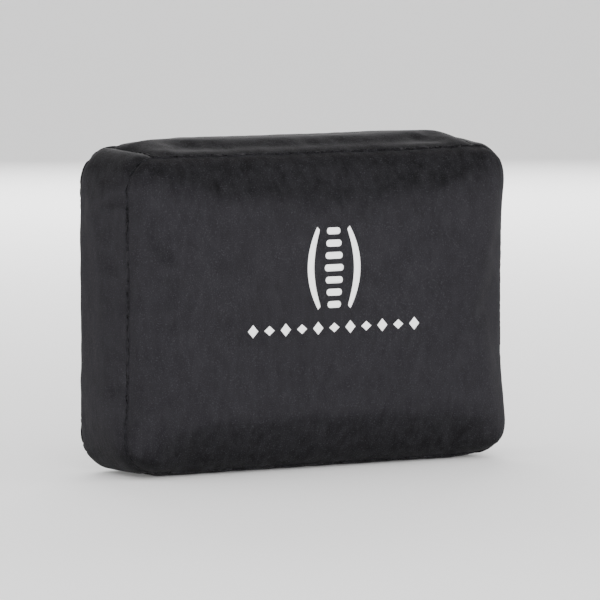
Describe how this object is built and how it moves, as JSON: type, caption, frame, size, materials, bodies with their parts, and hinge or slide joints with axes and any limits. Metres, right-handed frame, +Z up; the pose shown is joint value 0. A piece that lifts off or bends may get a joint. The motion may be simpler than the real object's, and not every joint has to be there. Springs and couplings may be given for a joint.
{
  "type": "lumbar support cushion",
  "caption": "Boxed lumbar cushion: crowned plush front, zipped cover over a lined foam core, and an elastic strap behind with side-release buckle and slide adjuster.",
  "frame": {"origin": "centre of the flat bottom face, half way through the depth of the boxed edge", "axes": "+Z up along the cushion's height, +X across its width, -Y out of the crowned front, +Y out of the back with the zipper and the strap"},
  "size_m": [0.32, 0.0941, 0.23],
  "materials": {
    "plush": "short-pile black plush",
    "film": "white heat-transfer film, satin",
    "foam": "open-cell polyurethane foam",
    "liner": "thin non-woven liner",
    "zipper_tape": "woven polyester tape",
    "zipper_coil": "nylon coil",
    "zipper_metal": "black painted zinc casting",
    "elastic": "woven elastic webbing",
    "acetal": "moulded acetal, fine satin",
    "satin": "satin ribbon, blank"
  },
  "bodies": {
    "cushion": {"foam_core": "foam", "liner_front": "liner", "liner_back": "liner", "front_panel": "plush", "gusset_top": "plush", "gusset_bottom": "plush", "gusset_left": "plush", "gusset_right": "plush", "back_panel_upper": "plush", "back_panel_lower": "plush", "emblem_mark": "film", "emblem_underline": "film", "zipper_tape_upper": "zipper_tape", "zipper_tape_lower": "zipper_tape", "zipper_teeth_upper": "zipper_coil", "zipper_teeth_lower": "zipper_coil", "zipper_top_stop_upper": "zipper_metal", "zipper_top_stop_lower": "zipper_metal", "zipper_bottom_stop": "zipper_metal", "strap_left": "elastic", "strap_left_return": "elastic", "strap_right": "elastic", "buckle_socket": "acetal", "care_label": "satin"},
    "slider": {"zipper_slider": "zipper_metal"},
    "pull": {"zipper_pull": "zipper_metal"},
    "adjuster": {"strap_adjuster": "acetal", "strap_return_loop": "elastic"},
    "plug": {"buckle_plug": "acetal", "strap_right_loop": "elastic"},
    "prong_upper": {"buckle_prong_upper": "acetal"},
    "prong_lower": {"buckle_prong_lower": "acetal"}
  },
  "joints": [
    {"name": "zipper_slide", "type": "slide", "parent": "cushion", "child": "slider", "axis": [-1, 0, 0], "range_m": [0, 0.225]},
    {"name": "pull_swing", "type": "hinge", "parent": "slider", "child": "pull", "pos_m": [0.1125, 0.03595, 0.058], "axis": [0, 0, -1], "range_deg": [0, 170]},
    {"name": "adjuster_slide", "type": "slide", "parent": "cushion", "child": "adjuster", "axis": [1, 0, 0], "range_m": [0, 0.04], "deforming": ["strap_left_return"]},
    {"name": "buckle_release", "type": "slide", "parent": "cushion", "child": "plug", "axis": [1, 0, 0], "range_m": [0, 0.03], "deforming": ["strap_right", "buckle_prong_upper", "buckle_prong_lower"]},
    {"name": "prong_squeeze_upper", "type": "hinge", "parent": "plug", "child": "prong_upper", "pos_m": [0.009, 0.0379, 0.1258], "axis": [0, -1, 0], "range_deg": [0, 14], "stiffness_Nm_per_rad": 1},
    {"name": "prong_squeeze_lower", "type": "hinge", "parent": "plug", "child": "prong_lower", "pos_m": [0.009, 0.0379, 0.1042], "axis": [0, 1, 0], "range_deg": [0, 14], "stiffness_Nm_per_rad": 1}
  ]
}
